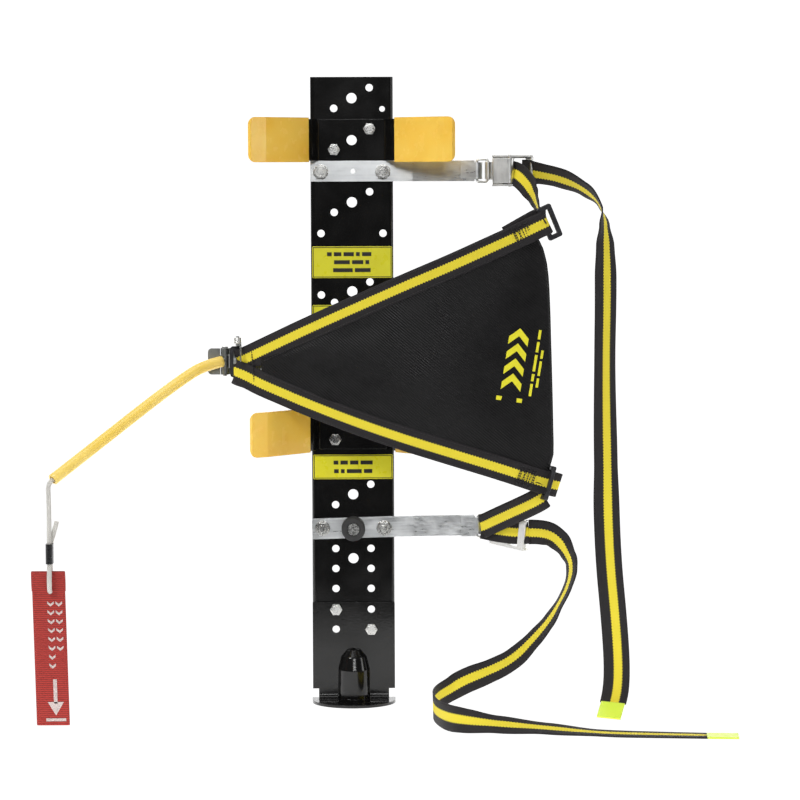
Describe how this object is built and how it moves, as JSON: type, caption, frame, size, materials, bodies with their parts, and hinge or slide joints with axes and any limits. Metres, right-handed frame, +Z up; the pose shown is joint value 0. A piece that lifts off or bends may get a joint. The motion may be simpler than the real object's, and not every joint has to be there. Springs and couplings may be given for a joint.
{
  "type": "cylinder bracket",
  "caption": "Wall or seat bracket for an upright air cylinder: drilled channel plate, sprung cradle clips, strap bars with adjusters and a triangular restraint panel on a pull-cord latch.",
  "frame": {"origin": "centre of the seat-back bolt pattern, on the rear face of the plate's web", "axes": "+Z up along the plate, -Y to the front (towards the cylinder), +X to the right as seen from the front"},
  "size_m": [0.7189, 0.2738, 0.6788],
  "materials": {
    "plate_black": "gloss black paint",
    "clip_black": "gloss black paint",
    "vinyl_yellow": "dipped vinyl",
    "zinc": "zinc plated",
    "hardware_zinc": "zinc plated",
    "bumper_rubber": "matt",
    "foot_black": "gloss black paint",
    "label_yellow": "printed film",
    "adjuster_steel": "plated",
    "webbing_black": "woven",
    "panel_black": "coated mesh",
    "ring_steel": "plated",
    "loop_black": "matt black",
    "latch_grey": "dull zinc",
    "tube_yellow": "smooth",
    "cord_white": "braided",
    "sleeve_black": "smooth",
    "tag_red": "ribbed tape",
    "tip_lime": "dipped"
  },
  "bodies": {
    "bracket": {"back_plate": "plate_black", "upper_cradle_clip": "clip_black", "lower_cradle_clip": "clip_black", "upper_left_wing_sleeve": "vinyl_yellow", "upper_right_wing_sleeve": "vinyl_yellow", "lower_left_wing_sleeve": "vinyl_yellow", "lower_right_wing_sleeve": "vinyl_yellow", "upper_bar": "zinc", "lower_bar": "zinc", "latch_bar": "zinc", "clip_bolts": "hardware_zinc", "clip_nuts": "hardware_zinc", "bar_bolts": "hardware_zinc", "bar_washers": "hardware_zinc", "bar_nuts": "hardware_zinc", "bumper_screw": "hardware_zinc", "foot_bolts": "hardware_zinc", "foot_nuts": "hardware_zinc", "latch_rivets": "hardware_zinc", "latch_pin": "hardware_zinc", "keeper_spring": "hardware_zinc", "rubber_bumper": "bumper_rubber", "foot_bracket": "foot_black", "upper_label": "label_yellow", "middle_label": "label_yellow", "lower_label": "label_yellow", "upper_swivel_ring": "adjuster_steel", "upper_adjuster_frame": "adjuster_steel", "upper_cam_pin": "adjuster_steel", "upper_end_bar": "adjuster_steel", "lower_swivel_ring": "adjuster_steel", "lower_adjuster_frame": "adjuster_steel", "lower_cam_pin": "adjuster_steel", "lower_end_bar": "adjuster_steel", "upper_link_strap": "webbing_black", "lower_link_strap": "webbing_black", "upper_tail": "webbing_black", "lower_tail": "webbing_black", "latch_bracket": "latch_grey", "upper_tail_tip": "tip_lime", "lower_tail_tip": "tip_lime"},
    "panel": {"panel_fabric": "panel_black", "upper_edge_webbing": "webbing_black", "lower_edge_webbing": "webbing_black", "upper_ring": "ring_steel", "lower_ring": "ring_steel", "apex_loop": "loop_black"},
    "lever": {"release_lever": "latch_grey", "release_tube": "tube_yellow", "pull_cord": "cord_white", "crimp_sleeve": "sleeve_black"},
    "tag": {"pull_tag": "tag_red"},
    "upper_cam": {"upper_cam_lever": "adjuster_steel"},
    "lower_cam": {"lower_cam_lever": "adjuster_steel"}
  },
  "joints": [
    {"name": "panel_swing", "type": "hinge", "parent": "bracket", "child": "panel", "pos_m": [0.2065, -0.083, -0.09285], "axis": [0, 0, 1], "range_deg": [0, 110], "deforming": ["keeper_spring"]},
    {"name": "release_lever_turn", "type": "hinge", "parent": "bracket", "child": "lever", "pos_m": [-0.136, -0.042, -0.10185], "axis": [0, 0, 1], "range_deg": [0, 30], "stiffness_Nm_per_rad": 0.5},
    {"name": "tag_swing", "type": "hinge", "parent": "lever", "child": "tag", "pos_m": [-0.312, -0.1775, -0.32985], "axis": [0, 1, 0], "range_deg": [-45, 45]},
    {"name": "upper_cam_turn", "type": "hinge", "parent": "bracket", "child": "upper_cam", "pos_m": [0.16833, -0.03104, 0.09975], "axis": [0, 0, 1], "range_deg": [0, 70]},
    {"name": "lower_cam_turn", "type": "hinge", "parent": "bracket", "child": "lower_cam", "pos_m": [0.16664, -0.03441, -0.28605], "axis": [-0.1056, 0.0767, -0.9914], "range_deg": [0, 70]}
  ]
}
